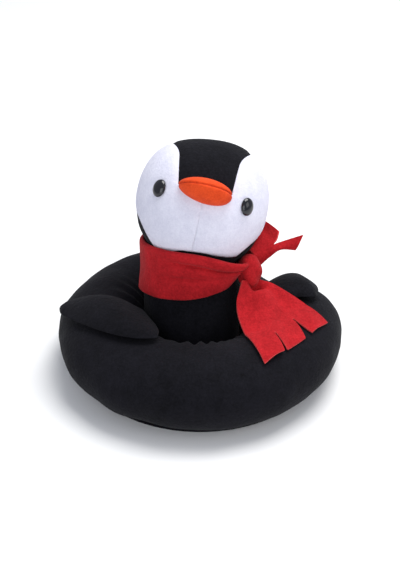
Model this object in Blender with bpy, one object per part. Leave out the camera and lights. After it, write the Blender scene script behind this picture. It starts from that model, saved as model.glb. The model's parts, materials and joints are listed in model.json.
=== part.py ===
"""Stuffed penguin in a swim ring, with a fleece scarf.

Metres, +Z up.  The origin is on the floor under the middle of the ring.  The penguin looks towards -Y,
so its own left side is +X.  Every sewn piece is a cloth panel over a separate body of stuffing.
"""
import math

import bmesh
import bpy
from mathutils import Matrix, Vector

CLOTH = 0.0015              # fleece panel thickness
GAP = 0.0003                # clearance between two pieces that touch
HALF_GAP = GAP / 2.0
SHARP_ANGLE = 40.0          # edges that turn by more are shaded sharp
FILL_INSET = CLOTH + GAP    # how far stuffing sits inside the outer face of its panels

RING_CREST_RADIUS = 0.066   # from the middle of the ring to the top of its tube
RING_OUTER_HALF = 0.033     # tube half-width outside the crest
RING_INNER_HALF = 0.029     # tube half-width inside the crest, before the body pushes it back
RING_HALF_HEIGHT = 0.0265
RING_MIDDLE_HEIGHT = 0.026
RING_SEAM_ANGLE = 153.0     # degrees round the tube where the cover is sewn to the body
RING_TUBE_STEP = 18.0       # degrees between two points of the tube's outline
RING_COVER_STEPS = 12       # from that seam over the top to the hem at the base
# Where the ring sinks: depth, degrees from +X, spread.
RING_DIPS = ((0.020, 50.0, 27.0), (0.0028, 130.0, 30.0))
RING_DIP_PULL = 0.35        # inward pull of the ring there, for each unit of dip
RING_SOLE = CLOTH + GAP     # underside of the ring, on top of the base panel
RING_FILL_INSET = CLOTH + 0.001
BASE_RADIUS = 0.083
BASE_EDGE_STEPS = 48
RING_STEPS = 36

BODY_FOOT = Vector((-0.0045, -0.004, 0.0))
BODY_LEAN_BACK = 14.0       # degrees
BODY_LEAN_SIDE = 1.0
BODY_SOLE = 0.0022          # the body panels start just above the base panel
BODY_TOP = 0.070            # along the leaning axis, hidden by the scarf
BODY_FILL_TOP = 0.058
BODY_WAIST = 0.0328         # radius inside the ring
BODY_BELLY = 0.0338         # largest radius, above the ring
BODY_BELLY_HEIGHT = 0.055
BODY_SWELL_HEIGHT = 0.020   # the belly starts to swell here
BODY_NECK_HEIGHT = 0.085    # and has drawn in here
BODY_NECK_DRAW = 0.004      # by this much
BODY_START = -0.015         # the column is drawn from below the floor and cut level with it
BODY_STEPS = 24
BODY_ROWS = 8
BODY_FILL_ROWS = 6

HEAD_RADIUS = 0.045
HEAD_CENTRE = Vector((0.001, 0.024, 0.1115))
HEAD_PITCH = 27.5           # degrees the face looks up
HEAD_ROLL = 12.0            # degrees the head leans to the penguin's left
HEAD_FULLNESS = 0.06        # extra radius at the upper corners of the head
HEAD_SKEW = 0.09            # more of it on the left of the crown, and less on the right
FACE_BACK = -0.003          # the white face ends just behind the widest part of the head
FACE_CHIN = -0.0316         # and just above the scarf
CHEEK_WAY = (0.78, -0.63)   # the face's lower corners are cut square to this direction
CHEEK_REACH = 0.0424        # this far from the middle of the head
BLAZE_HALF = 0.018          # half-width of the black blaze at its foot
BLAZE_SLOPE = 0.12          # how fast it widens going up
BLAZE_FLARE_HEIGHT = 0.031  # where it starts to flare
BLAZE_FLARE = 0.8           # extra spread per rise above that height
BLAZE_FOOT = 0.0105         # the blaze ends under the beak
NECK_RADIUS = 0.0225
NECK_STEPS = 20
NECK_ROWS = 6

EYE_PLACE = (0.0288, 0.0053)
EYE_RADIUS = 0.006
EYE_NARROW = 0.84           # the domes are oval: width for each unit of height
EYE_HEIGHT = 0.0030
EYE_SHANK_RADIUS = 0.002
EYE_SHANK_LENGTH = 0.009
EYE_STEPS = 16
EYE_ARC_STEPS = 6
EYE_CUT_DEPTH = 0.02
WASHER_RADIUS = 0.0065
WASHER_THICKNESS = 0.0015

BEAK_HALF_WIDTH = 0.0181
BEAK_UPPER_HEIGHT = 0.007   # from the rim seam up
BEAK_LOWER_HEIGHT = 0.0090  # and down
BEAK_REACH = 0.016
BEAK_RISE = 0.0105          # its middle above the middle of the face
BEAK_TILT = 14.0            # degrees the bill points up from the face
BEAK_SKEW = 0.42            # how far its lower lip hangs to the left, for each unit down

WING_HALF_THICK = 0.0062
WING_END_HALF_THICK = 0.0022
WING_FLATNESS = 0.45        # thickness under the edge seam, for each unit above it
WING_CLOTH = 0.0009
WING_FILL_END = 0.003       # the stuffing stops this far from the root and the tip
WING_CLEARANCE = 0.0006     # over the ring
WING_BRIDGE = 0.006         # how softly a wing bridges a low place


class Leaf:
    """The outline of one wing, which lies over the ring from its root to its tip."""

    def __init__(self, root, tip, half_widths, belly, belly_power, blunt, bow, slant, level):
        self.root = root
        self.tip = tip
        self.root_half_width, self.tip_half_width = half_widths
        self.belly = belly      # extra half-width where the leaf is widest
        self.belly_power = belly_power  # below one moves that place towards the root
        self.blunt = blunt      # share of the ends that is rounded off
        self.bow = bow          # how far the leaf bends towards the front
        self.slant = slant      # slant of its root, which goes round the body
        self.level = level      # its edge seam bridges whatever lies lower than this


RIGHT_LEAF = Leaf(Vector((-0.0290, -0.0310, 0.0490)), Vector((-0.0960, -0.0060, 0.0480)), (0.016, 0.005),
                  0.008, 0.7, 0.45, 0.008, 0.75, 0.0445)
LEFT_LEAF = Leaf(Vector((0.0345, 0.0040, 0.0480)), Vector((0.0815, 0.0190, 0.0480)), (0.010, 0.016),
                 0.006, 1.6, 0.75, 0.0, 0.0, 0.0430)

SCARF_CLOTH = 0.0022
SCARF_BOTTOM = 0.058        # along the body axis
SCARF_TOP = 0.092
SCARF_INNER = 0.0345
SCARF_BACK_RISE = 0.008     # the hem rides up over the ring behind the neck
SCARF_STEPS = 36
SCARF_FLARE = 0.0048        # extra inner radius at the top, round the head
SCARF_FLARE_START = 0.35    # share of its height where that flare begins
SCARF_FOLD = 0.0016         # how far the outer ply stands off the inner one
SCARF_GATHER = 0.6          # share of its height that the scarf loses at the knot
SCARF_GATHER_ANGLE = -15.0  # degrees round the body from +X to the knot
SCARF_GATHER_SPREAD = 52.0
SCARF_GATHER_HEIGHT = 0.073  # the height that it draws in to
SCARF_TUCK = 0.004          # how far its top edge sags under the chin
SCARF_TUCK_ANGLE = -55.0
SCARF_TUCK_SPREAD = 28.0
SCARF_ROWS = 6
KNOT_SEAT_ROWS = 12
KNOT_CENTRE = Vector((0.0342, -0.0010, 0.0745))
KNOT_HALF = (0.0075, 0.0085, 0.0120)
KNOT_SEAT_REACH = 0.03      # the seat cut runs this far past the scarf's edges
KNOT_SEAT_STEPS = 48
KNOT_SWIRL = 0.08           # depth of its pleats, as a share of its radius
KNOT_PLEATS = 3
KNOT_TWIST = 4.0            # radians each pleat turns per half height
TAIL_COLUMNS = 12
TAIL_ROWS = 12

BLACK = (0.010, 0.010, 0.014)
WHITE = (0.82, 0.83, 0.88)
ORANGE = (0.75, 0.11, 0.03)
RED = (0.42, 0.015, 0.02)
EYE_BLACK = (0.012, 0.012, 0.016)
FILLING = (0.85, 0.85, 0.83)
CLEAR = (0.75, 0.76, 0.78)

ORIGIN = (0.0, 0.0, 0.0)
X_WAY = (1.0, 0.0, 0.0)
Y_WAY = (0.0, 1.0, 0.0)
Z_WAY = (0.0, 0.0, 1.0)


def material(name, colour, roughness):
    """One plain finish."""
    finish = bpy.data.materials.get(name)
    if finish:
        return finish
    finish = bpy.data.materials.new(name)
    finish.use_nodes = True
    shader = finish.node_tree.nodes["Principled BSDF"]
    shader.inputs["Base Color"].default_value = (*colour, 1.0)
    shader.inputs["Roughness"].default_value = roughness
    shader.inputs["Metallic"].default_value = 0.0
    return finish


def fleece(name, colour):
    return material(name, colour, 0.95)


def smoothstep(low, high, value):
    share = min(1.0, max(0.0, (value - low) / (high - low)))
    return share * share * (3.0 - 2.0 * share)


def between(first, second, share):
    return first + (second - first) * share


def turn_matrix(right, up, forward, place):
    """A frame with the given three directions as its axes."""
    turned = Matrix((right, up, forward)).transposed().to_4x4()
    return Matrix.Translation(place) @ turned


def body_frame():
    side = math.tan(math.radians(BODY_LEAN_SIDE))
    back = math.tan(math.radians(BODY_LEAN_BACK))
    axis = Vector((-side, back, 1.0)).normalized()
    right = Vector((1.0, 0.0, side)).normalized()
    return turn_matrix(right, axis.cross(right), axis, BODY_FOOT)


def head_frame():
    """Right, up and forward of the face, as someone looking at it sees them."""
    pitch = math.radians(HEAD_PITCH)
    roll = math.radians(HEAD_ROLL)
    level_up = Vector((0.0, math.sin(pitch), math.cos(pitch)))
    level_right = Vector((1.0, 0.0, 0.0))
    right = level_right * math.cos(roll) - level_up * math.sin(roll)
    up = level_up * math.cos(roll) + level_right * math.sin(roll)
    return turn_matrix(right, up, right.cross(up), HEAD_CENTRE)


BODY = body_frame()
HEAD = head_frame()
HEAD_IN_BODY = BODY.inverted() @ HEAD_CENTRE


def body_radius(height):
    """The column swells from the ring up to the belly and draws in at the neck."""
    swell = smoothstep(BODY_SWELL_HEIGHT, BODY_BELLY_HEIGHT, height)
    neck = smoothstep(BODY_BELLY_HEIGHT, BODY_NECK_HEIGHT, height)
    return BODY_WAIST + (BODY_BELLY - BODY_WAIST) * swell - BODY_NECK_DRAW * neck


def ring_dip(point):
    """How far the ring sinks at a point."""
    sunk = 0.0
    for depth, angle, spread in RING_DIPS:
        offset = (math.degrees(math.atan2(point.y, point.x)) - angle + 180.0) % 360.0 - 180.0
        sunk += depth * math.exp(-(offset / spread) ** 2)
    return sunk


def ring_point(tube_angle, inset):
    """A point of the tube's outline at angle zero round the ring."""
    half = RING_OUTER_HALF if math.cos(tube_angle) > 0.0 else RING_INNER_HALF
    out = RING_CREST_RADIUS + (half - inset) * math.cos(tube_angle)
    height = RING_MIDDLE_HEIGHT + (RING_HALF_HEIGHT - inset) * math.sin(tube_angle)
    return Vector((out, 0.0, height))


def settle_ring(bm, inset_at):
    """Sink the dip, flatten the underside and press the inside of the ring against the body."""
    to_body = BODY.inverted()
    for vert in bm.verts:
        inset = inset_at(vert.co)
        dip = ring_dip(vert.co)
        away = Vector((vert.co.x, vert.co.y, 0.0))
        pull = 1.0 - RING_DIP_PULL * dip / max(away.length, RING_INNER_HALF)
        drop = dip * smoothstep(0.0, 2.0 * RING_MIDDLE_HEIGHT, vert.co.z)
        settled = Vector((away.x * pull, away.y * pull, max(vert.co.z - drop, RING_SOLE)))
        local = to_body @ settled
        distance = math.hypot(local.x, local.y)
        clear = body_radius(local.z) + GAP + inset
        if distance < clear:
            scale = clear / max(distance, GAP)
            settled = BODY @ Vector((local.x * scale, local.y * scale, local.z))
        vert.co = Vector((settled.x, settled.y, max(settled.z, RING_SOLE)))


def cover_inset(point):
    """Zero on the outer face of the ring's cover, and the cloth's thickness on its inner face."""
    out = math.hypot(point.x, point.y) - RING_CREST_RADIUS
    half = RING_OUTER_HALF if out > 0.0 else RING_INNER_HALF
    reach = math.hypot(out / half, (point.z - RING_MIDDLE_HEIGHT) / RING_HALF_HEIGHT)
    return 0.0 if reach > 1.0 - HALF_GAP / RING_HALF_HEIGHT else CLOTH


def new_piece(name, bm, frame, finish, parent=None):
    """Turn a bmesh into a named object placed by its frame."""
    bmesh.ops.recalc_face_normals(bm, faces=bm.faces)
    if bm.calc_volume(signed=True) < 0.0:
        bmesh.ops.reverse_faces(bm, faces=bm.faces)
    mesh = bpy.data.meshes.new(name)
    bm.to_mesh(mesh)
    bm.free()
    mesh.shade_smooth()
    mesh.set_sharp_from_angle(angle=math.radians(SHARP_ANGLE))
    mesh.materials.append(finish)
    piece = bpy.data.objects.new(name, mesh)
    bpy.context.collection.objects.link(piece)
    piece.matrix_world = frame
    if parent:
        bpy.context.view_layer.update()
        piece.parent = parent
        piece.matrix_parent_inverse = parent.matrix_world.inverted()
    return piece


def pivot(name, place):
    """An empty on a joint's axis, which carries the pieces that move there."""
    empty = bpy.data.objects.new(name, None)
    empty.location = place
    bpy.context.collection.objects.link(empty)
    bpy.context.view_layer.update()
    return empty


def double_wall(bm, outer, inner):
    """Give a surface a second face inside it; each face is placed by its own function."""
    added = bmesh.ops.extrude_face_region(bm, geom=bm.faces[:], use_keep_orig=True)
    inside = {item for item in added["geom"] if isinstance(item, bmesh.types.BMVert)}
    for vert in bm.verts:
        vert.co = inner(vert.co) if vert in inside else outer(vert.co)
    return bm


def as_drawn(point):
    return point


def keep_faces(bm, wanted):
    spare = [face for face in bm.faces if not wanted(face.calc_center_median())]
    bmesh.ops.delete(bm, geom=spare, context="FACES")


def split_along(bm, point, normal, offset_way):
    """Add two lines of edges, one gap apart, where a seam crosses the surface."""
    for offset in (-HALF_GAP, HALF_GAP):
        everything = bm.verts[:] + bm.edges[:] + bm.faces[:]
        place = Vector(point) + Vector(offset_way) * offset
        bmesh.ops.bisect_plane(bm, geom=everything, dist=1e-7, plane_co=place, plane_no=normal)


def turned(profile, steps, closed):
    """Spin an outline in the XZ plane round Z."""
    bm = bmesh.new()
    verts = [bm.verts.new(point) for point in profile]
    edges = [bm.edges.new(pair) for pair in zip(verts, verts[1:])]
    if closed:
        edges.append(bm.edges.new((verts[-1], verts[0])))
    bmesh.ops.spin(bm, geom=verts + edges, cent=(0.0, 0.0, 0.0), axis=(0.0, 0.0, 1.0),
                   angle=2.0 * math.pi, steps=steps, use_merge=True)
    bmesh.ops.remove_doubles(bm, verts=bm.verts, dist=1e-6)
    return bm


def ring_outline(count, inset):
    angles = [math.radians(RING_SEAM_ANGLE - RING_TUBE_STEP * step) for step in range(count)]
    return [ring_point(angle, inset) for angle in angles]


def build_ring():
    """The swim ring: a cover over stuffing, closed by a flat base."""
    outer = ring_outline(RING_COVER_STEPS + 1, 0.0)
    inner = ring_outline(RING_COVER_STEPS + 1, CLOTH)
    cover = turned(outer + inner[::-1], RING_STEPS, True)
    settle_ring(cover, cover_inset)
    new_piece("ring_cover", cover, Matrix.Identity(4), fleece("black_fleece", BLACK))
    filling = turned(ring_outline(round(360.0 / RING_TUBE_STEP), RING_FILL_INSET), RING_STEPS, True)
    settle_ring(filling, lambda point: RING_FILL_INSET)
    new_piece("ring_stuffing", filling, Matrix.Identity(4), material("filling", FILLING, 1.0))
    base = bmesh.new()
    bmesh.ops.create_circle(base, cap_ends=True, radius=BASE_RADIUS, segments=BASE_EDGE_STEPS)
    lifted = bmesh.ops.extrude_face_region(base, geom=list(base.faces))
    raised = [item for item in lifted["geom"] if isinstance(item, bmesh.types.BMVert)]
    bmesh.ops.translate(base, vec=(0.0, 0.0, CLOTH), verts=raised)
    new_piece("base_panel", base, Matrix.Identity(4), fleece("black_fleece", BLACK))


def column_outline(inset, low, high, count):
    heights = [low + (high - low) * step / count for step in range(count + 1)]
    return [Vector((body_radius(height) - inset, 0.0, height)) for height in heights]


def above_sole(bm, level):
    """Cut the bottom of the leaning column level with the floor."""
    floor = BODY.inverted() @ Vector((0.0, 0.0, level))
    normal = BODY.to_3x3().inverted() @ Vector((0.0, 0.0, 1.0))
    everything = bm.verts[:] + bm.edges[:] + bm.faces[:]
    cut = bmesh.ops.bisect_plane(bm, geom=everything, dist=1e-6, plane_co=floor, plane_no=normal,
                                 clear_inner=True)
    return [item for item in cut["geom_cut"] if isinstance(item, bmesh.types.BMEdge)]


def inside_column(point):
    shrink = 1.0 - CLOTH / math.hypot(point.x, point.y)
    return Vector((point.x * shrink, point.y * shrink, point.z))


def build_body():
    """The upright body: two panels sewn down the middle of the belly, round one column of stuffing."""
    for name, side in (("body_right_panel", -1.0), ("body_left_panel", 1.0)):
        column = turned(column_outline(0.0, BODY_START, BODY_TOP, BODY_ROWS), BODY_STEPS, False)
        above_sole(column, BODY_SOLE)
        split_along(column, ORIGIN, X_WAY, X_WAY)
        keep_faces(column, lambda centre, side=side: centre.x * side > HALF_GAP)
        double_wall(column, as_drawn, inside_column)
        new_piece(name, column, BODY, fleece("black_fleece", BLACK))
    outline = column_outline(FILL_INSET, BODY_START, BODY_FILL_TOP, BODY_FILL_ROWS)
    outline.append(Vector((0.0, 0.0, BODY_FILL_TOP)))
    filling = turned(outline, BODY_STEPS, False)
    rim = above_sole(filling, BODY_SOLE + GAP)
    bmesh.ops.holes_fill(filling, edges=rim)
    new_piece("body_stuffing", filling, BODY, material("filling", FILLING, 1.0))


def build_neck(parent):
    """A wad of stuffing between body and head, dished to fit under the head."""
    neck_frame = BODY.copy()
    neck_frame.translation = HEAD_CENTRE
    seat = HEAD_RADIUS + GAP
    low = BODY_FILL_TOP + GAP - HEAD_IN_BODY.z
    across = [NECK_RADIUS * step / NECK_ROWS for step in range(NECK_ROWS + 1)]
    outline = [Vector((out, 0.0, -math.sqrt(seat * seat - out * out))) for out in across]
    outline += [Vector((NECK_RADIUS, 0.0, low)), Vector((0.0, 0.0, low))]
    wad = turned(outline, NECK_STEPS, False)
    new_piece("neck_stuffing", wad, neck_frame, material("filling", FILLING, 1.0), parent)


def head_ball(inset):
    """The head in its own frame: a ball that is fuller at its two upper corners."""
    bm = bmesh.new()
    bmesh.ops.create_uvsphere(bm, u_segments=24, v_segments=14, radius=1.0)
    bmesh.ops.rotate(bm, verts=bm.verts, cent=(0.0, 0.0, 0.0), matrix=Matrix.Rotation(math.pi / 2.0, 3, "X"))
    for vert in bm.verts:
        way = vert.co.normalized()
        corner = 4.0 * (way.x * max(way.y, 0.0)) ** 2
        skew = way.x * max(way.y, 0.0) ** 4
        vert.co = way * (HEAD_RADIUS * (1.0 + HEAD_FULLNESS * corner + HEAD_SKEW * skew) - inset)
    return bm


def blaze_half(height):
    widened = BLAZE_HALF + BLAZE_SLOPE * (height - BLAZE_FOOT)
    return widened + BLAZE_FLARE * max(0.0, height - BLAZE_FLARE_HEIGHT)


def in_blaze(centre, grow):
    return centre.y > BLAZE_FOOT - grow and abs(centre.x) < blaze_half(centre.y) + grow


def in_face(centre, grow):
    cheek = abs(centre.x) * CHEEK_WAY[0] + centre.y * CHEEK_WAY[1]
    inside = centre.z > FACE_BACK - grow and centre.y > FACE_CHIN - grow and cheek < CHEEK_REACH + grow
    return inside and not in_blaze(centre, -grow)


def head_panel(name, wanted, colour_name, colour, parent, holes):
    bm = head_ball(0.0)
    split_along(bm, ORIGIN, X_WAY, X_WAY)
    split_along(bm, (0.0, 0.0, FACE_BACK), Z_WAY, Z_WAY)
    split_along(bm, (0.0, FACE_CHIN, 0.0), Y_WAY, Y_WAY)
    split_along(bm, (0.0, BLAZE_FOOT, 0.0), Y_WAY, Y_WAY)
    for side in (-1.0, 1.0):
        split_along(bm, (side * BLAZE_HALF, BLAZE_FOOT, 0.0), (side, -BLAZE_SLOPE, 0.0), X_WAY)
        flare_start = (side * blaze_half(BLAZE_FLARE_HEIGHT), BLAZE_FLARE_HEIGHT, 0.0)
        split_along(bm, flare_start, (side, -BLAZE_SLOPE - BLAZE_FLARE, 0.0), X_WAY)
        cheek = Vector((side * CHEEK_WAY[0], CHEEK_WAY[1], 0.0))
        split_along(bm, cheek * CHEEK_REACH, cheek, cheek)
    keep_faces(bm, wanted)
    double_wall(bm, as_drawn, lambda point: point * (1.0 - CLOTH / point.length))
    piece = new_piece(name, bm, HEAD, fleece(colour_name, colour), parent)
    for hole in holes:
        cut(piece, hole)
    return piece


def cut(piece, cutter):
    bite = piece.modifiers.new("Cut_" + cutter.name, "BOOLEAN")
    bite.object = cutter
    bite.operation = "DIFFERENCE"
    bite.solver = "EXACT"


def cutter(name, bm, frame, parent):
    tool = new_piece(name, bm, frame, material("filling", FILLING, 1.0), parent)
    tool.hide_render = True
    tool.display_type = "WIRE"
    return tool


def eye_frame(side):
    """Z points straight out of the face at the eye, from the outer face of the cloth."""
    right, up = EYE_PLACE
    forward = math.sqrt(HEAD_RADIUS ** 2 - right ** 2 - up ** 2)
    out = Vector((side * right, up, forward)).normalized()
    across = Vector((0.0, 1.0, 0.0)).cross(out).normalized()
    return HEAD @ turn_matrix(across, out.cross(across), out, out * HEAD_RADIUS)


def build_eyes(parent):
    """Two domed safety eyes, each on a shank through the face with a washer behind the cloth."""
    pockets = {}
    for name, side in (("right", -1.0), ("left", 1.0)):
        frame = eye_frame(side)
        arc = [math.radians(90.0 * step / EYE_ARC_STEPS) for step in range(EYE_ARC_STEPS + 1)]
        dome = [Vector((EYE_RADIUS * math.sin(a), 0.0, 2.0 * GAP + EYE_HEIGHT * math.cos(a))) for a in arc]
        shank = [Vector((EYE_SHANK_RADIUS, 0.0, 2.0 * GAP)),
                 Vector((EYE_SHANK_RADIUS, 0.0, -EYE_SHANK_LENGTH)), Vector((0.0, 0.0, -EYE_SHANK_LENGTH))]
        eye = turned(dome + shank, EYE_STEPS, False)
        bmesh.ops.scale(eye, vec=(EYE_NARROW, 1.0, 1.0), verts=eye.verts)
        new_piece(name + "_eye", eye, frame, material("eye_plastic", EYE_BLACK, 0.12), parent)
        top = -CLOTH - 4.0 * GAP
        low = top - WASHER_THICKNESS
        bore = EYE_SHANK_RADIUS + GAP
        square = [Vector((bore, 0.0, top)), Vector((WASHER_RADIUS, 0.0, top)),
                  Vector((WASHER_RADIUS, 0.0, low)), Vector((bore, 0.0, low))]
        washer = turned(square, EYE_STEPS, True)
        new_piece(name + "_eye_washer", washer, frame, material("clear_plastic", CLEAR, 0.3), parent)
        hole = bmesh.new()
        bmesh.ops.create_cone(hole, cap_ends=True, segments=EYE_STEPS, radius1=bore, radius2=bore,
                              depth=EYE_CUT_DEPTH)
        pocket = bmesh.new()
        wide = WASHER_RADIUS + GAP
        bmesh.ops.create_cone(pocket, cap_ends=True, segments=EYE_STEPS, radius1=wide, radius2=wide,
                              depth=EYE_CUT_DEPTH)
        pockets[name] = (cutter(name + "_eye_hole", hole, frame, parent),
                         cutter(name + "_eye_pocket", pocket, frame, parent))
    return pockets


def build_head(parent):
    """Ball of five panels: white face in two halves, black blaze, and two black back panels."""
    pockets = build_eyes(parent)
    head_panel("crown_panel", lambda c: in_blaze(c, -HALF_GAP), "black_fleece", BLACK, parent, ())
    for name, side in (("right", -1.0), ("left", 1.0)):
        head_panel("face_" + name + "_panel",
                   lambda c, side=side: in_face(c, -HALF_GAP) and c.x * side > HALF_GAP,
                   "white_fleece", WHITE, parent, (pockets[name][0],))
        head_panel("back_" + name + "_panel",
                   lambda c, side=side: not (in_face(c, HALF_GAP) or in_blaze(c, HALF_GAP))
                   and c.x * side > HALF_GAP, "black_fleece", BLACK, parent, ())
    filling = new_piece("head_stuffing", head_ball(FILL_INSET), HEAD,
                        material("filling", FILLING, 1.0), parent)
    cut(filling, pockets["right"][1])
    cut(filling, pockets["left"][1])


def beak_height(side):
    return BEAK_UPPER_HEIGHT if side > 0.0 else BEAK_LOWER_HEIGHT


def beak_ball(inset):
    bm = bmesh.new()
    bmesh.ops.create_uvsphere(bm, u_segments=20, v_segments=12, radius=1.0)
    bmesh.ops.rotate(bm, verts=bm.verts, cent=(0.0, 0.0, 0.0), matrix=Matrix.Rotation(math.pi / 2.0, 3, "Z"))
    for vert in bm.verts:
        vert.co = Vector((vert.co.x * (BEAK_HALF_WIDTH - inset), vert.co.y * (beak_height(vert.co.y) - inset),
                          vert.co.z * (BEAK_REACH - inset)))
    return bm


def inside_beak(point):
    return Vector((point.x * (1.0 - CLOTH / BEAK_HALF_WIDTH), point.y * (1.0 - CLOTH / beak_height(point.y)),
                   point.z * (1.0 - CLOTH / BEAK_REACH)))


def skew_beak(bm):
    for vert in bm.verts:
        vert.co.x += BEAK_SKEW * max(0.0, -vert.co.y)
    return bm


def build_beak(parent):
    """A stuffed bill of two felt panels, sewn on in front of the seam between blaze and face."""
    stand = math.sqrt(HEAD_RADIUS ** 2 - BEAK_RISE ** 2)
    tilt = Matrix.Rotation(math.radians(-BEAK_TILT), 4, "X")
    frame = HEAD @ Matrix.Translation((0.0, BEAK_RISE, stand)) @ tilt
    ball = bmesh.new()
    bmesh.ops.create_uvsphere(ball, u_segments=48, v_segments=24, radius=HEAD_RADIUS + GAP)
    face = cutter("beak_seat", ball, HEAD, parent)
    for name, side in (("beak_lower_panel", -1.0), ("beak_upper_panel", 1.0)):
        bm = beak_ball(0.0)
        split_along(bm, ORIGIN, Y_WAY, Y_WAY)
        keep_faces(bm, lambda centre, side=side: centre.y * side > HALF_GAP)
        double_wall(bm, as_drawn, inside_beak)
        panel = new_piece(name, skew_beak(bm), frame, fleece("orange_felt", ORANGE), parent)
        cut(panel, face)
    stuffing = skew_beak(beak_ball(FILL_INSET))
    filling = new_piece("beak_stuffing", stuffing, frame, material("filling", FILLING, 1.0), parent)
    cut(filling, face)


def wing_ball():
    """A ball with its poles at the root and the tip of the wing."""
    bm = bmesh.new()
    bmesh.ops.create_uvsphere(bm, u_segments=16, v_segments=12, radius=1.0)
    bmesh.ops.rotate(bm, verts=bm.verts, cent=(0.0, 0.0, 0.0), matrix=Matrix.Rotation(math.pi / 2.0, 3, "Y"))
    return bm


def wing_rest(x, y, level):
    """Height of a wing's edge seam over a point: it lies on the ring and bridges the low places."""
    ring = ring_top(x, y)
    return (ring + level + math.hypot(ring - level, WING_BRIDGE)) / 2.0 + WING_CLEARANCE


def wing_place(unit, leaf, inset, end_inset, lift):
    """Stretch a point of the ball into a leaf that lies over the ring."""
    span = Vector((leaf.tip.x - leaf.root.x, leaf.tip.y - leaf.root.y, 0.0))
    length = span.length
    share = min(1.0, max(0.0, (unit.x + 1.0) / 2.0))
    along = end_inset + (length - 2.0 * end_inset) * share
    swell = max(0.0, math.sin(math.pi * (along / length) ** leaf.belly_power))
    rim = math.hypot(unit.y, unit.z)
    close = min(1.0, rim / leaf.blunt)
    across = unit.y / rim if rim > 1e-6 else 0.0
    over = unit.z / rim if rim > 1e-6 else 0.0
    half_width = between(leaf.root_half_width, leaf.tip_half_width, along / length) + leaf.belly * swell
    under_thick = between(WING_END_HALF_THICK, WING_HALF_THICK * WING_FLATNESS, swell)
    half_thick = between(WING_END_HALF_THICK, WING_HALF_THICK, swell) if over > 0.0 else under_thick
    sideways = close * (half_width - inset) * across
    onward = along - leaf.slant * sideways * (1.0 - along / length)
    way = span / length
    front = Vector((way.y, -way.x, 0.0)) if way.x > 0.0 else Vector((-way.y, way.x, 0.0))
    place = Vector((leaf.root.x, leaf.root.y, 0.0)) + way * onward + front * (sideways + leaf.bow * swell)
    rest = wing_rest(place.x, place.y, leaf.level)
    place.z = rest + under_thick + lift + close * (half_thick - inset) * over
    return place


def build_wing(name, leaf):
    """One flipper: an upper and a lower panel sewn round the edge, over stuffing."""
    parent = pivot(name + "_root", leaf.root)
    for panel, side in (("_upper_panel", 1.0), ("_lower_panel", -1.0)):
        bm = wing_ball()
        everything = bm.verts[:] + bm.edges[:] + bm.faces[:]
        bmesh.ops.bisect_plane(bm, geom=everything, dist=1e-6, plane_co=ORIGIN, plane_no=(0.0, 0.0, side),
                               clear_inner=True)
        lift = side * HALF_GAP
        double_wall(bm, lambda unit, lift=lift: wing_place(unit, leaf, 0.0, 0.0, lift),
                    lambda unit, lift=lift: wing_place(unit, leaf, WING_CLOTH, WING_CLOTH, lift))
        new_piece(name + panel, bm, Matrix.Identity(4), fleece("black_fleece", BLACK), parent)
    filling = wing_ball()
    for vert in filling.verts:
        vert.co = wing_place(vert.co, leaf, WING_CLOTH + GAP, WING_FILL_END, 0.0)
    new_piece(name + "_stuffing", filling, Matrix.Identity(4), material("filling", FILLING, 1.0), parent)


def scarf_middle(height):
    """The scarf's centre slides from the body's axis at its hem to the head's axis at its top."""
    share = (height - SCARF_BOTTOM) / (SCARF_TOP - SCARF_BOTTOM)
    return Vector((HEAD_IN_BODY.x, HEAD_IN_BODY.y, 0.0)) * share


def near_angle(point, angle, spread):
    """One at an angle round the neck, falling off to both sides of it."""
    offset = (math.degrees(math.atan2(point.y, point.x)) - angle + 180.0) % 360.0 - 180.0
    return math.exp(-(offset / spread) ** 2)


def scarf_inside(share):
    return SCARF_INNER + SCARF_FLARE * smoothstep(SCARF_FLARE_START, 1.0, share)


def drape_scarf(bm):
    """Bend a straight band round the neck: up over the ring behind, and drawn together at the knot."""
    for vert in bm.verts:
        behind = max(0.0, vert.co.y / SCARF_INNER) ** 2
        share = (vert.co.z - SCARF_BOTTOM) / (SCARF_TOP - SCARF_BOTTOM)
        gather = SCARF_GATHER * near_angle(vert.co, SCARF_GATHER_ANGLE, SCARF_GATHER_SPREAD)
        tuck = SCARF_TUCK * near_angle(vert.co, SCARF_TUCK_ANGLE, SCARF_TUCK_SPREAD) * share
        lift = SCARF_BACK_RISE * behind * (1.0 - share) + (SCARF_GATHER_HEIGHT - vert.co.z) * gather - tuck
        vert.co += scarf_middle(vert.co.z) + Vector((0.0, 0.0, lift))


def build_scarf_wrap():
    """The scarf's turn round the neck, folded lengthwise, with a crease along its middle."""
    inner = []
    outer = []
    for step in range(SCARF_ROWS + 1):
        share = step / SCARF_ROWS
        height = SCARF_BOTTOM + (SCARF_TOP - SCARF_BOTTOM) * share
        inside = scarf_inside(share)
        ply = SCARF_CLOTH + SCARF_FOLD * abs(math.sin(2.0 * math.pi * share))
        inner.append(Vector((inside, 0.0, height)))
        outer.append(Vector((inside + ply, 0.0, height)))
    band = turned(outer[::-1] + inner, SCARF_STEPS, True)
    drape_scarf(band)
    new_piece("scarf_wrap", band, BODY, fleece("red_fleece", RED))


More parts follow.
